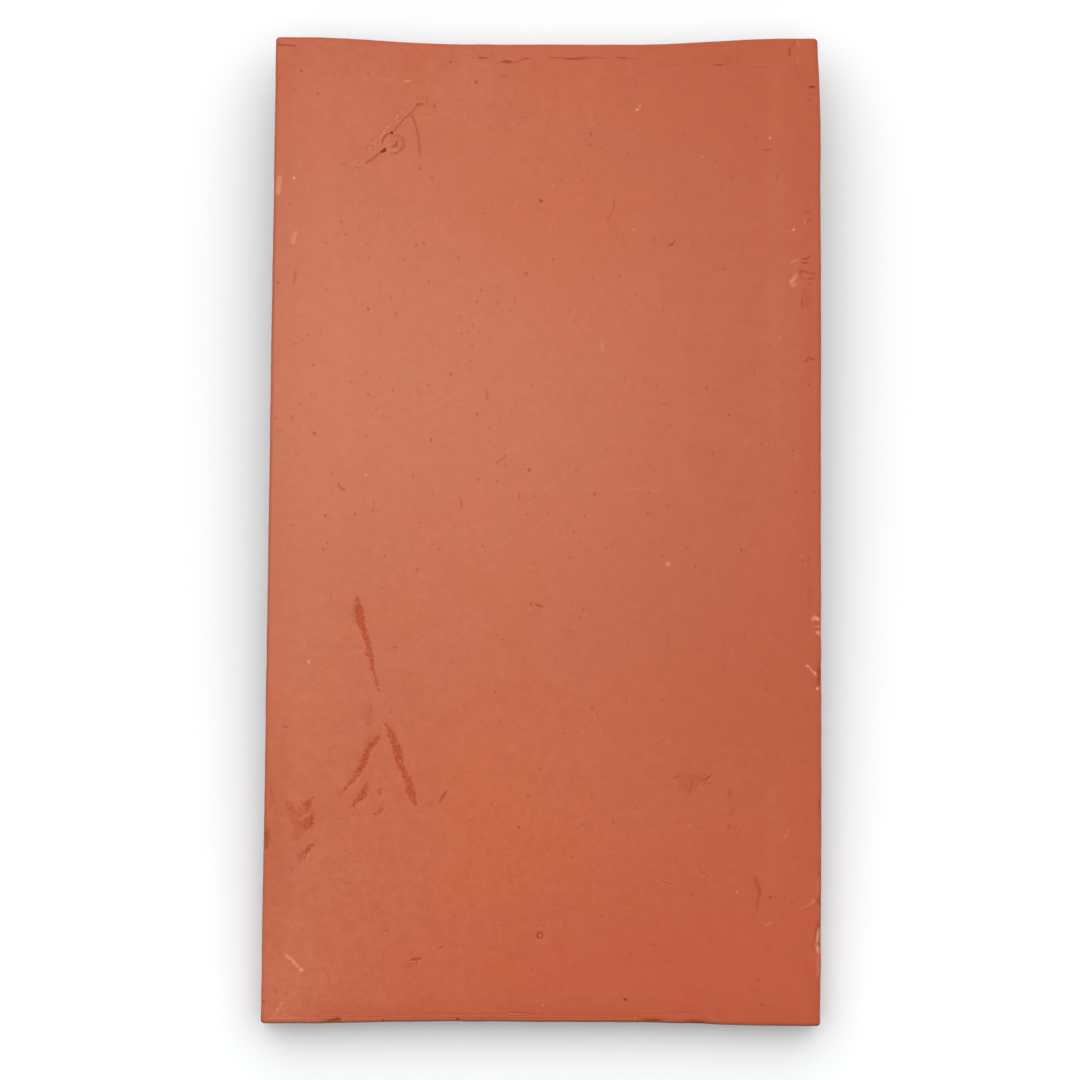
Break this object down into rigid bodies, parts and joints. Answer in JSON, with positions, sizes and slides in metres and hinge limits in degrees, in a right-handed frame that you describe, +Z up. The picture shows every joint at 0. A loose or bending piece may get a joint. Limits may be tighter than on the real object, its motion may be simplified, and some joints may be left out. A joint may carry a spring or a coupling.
{
  "type": "clay roof tile",
  "caption": "Plain fired-clay roof tile: a slightly tapered, gently arched slab with drawn-in ends and one nib under its head that hooks over a roofing batten.",
  "frame": {"origin": "on the floor, at the middle of the bounding box of the tile as it lies face up on its nib and tail", "axes": "+Y towards the head with the nib, -Y towards the tail that stays in view on a roof, +X across the tile, +Z up out of the weathered face"},
  "size_m": [0.17, 0.3, 0.0252],
  "materials": {
    "fired_clay": "unglazed fired clay, matt, finely pitted, orange-red with darker red handling strokes and pale worn arrises"
  },
  "bodies": {
    "root": {"roof_tile": "fired_clay"}
  },
  "joints": []
}
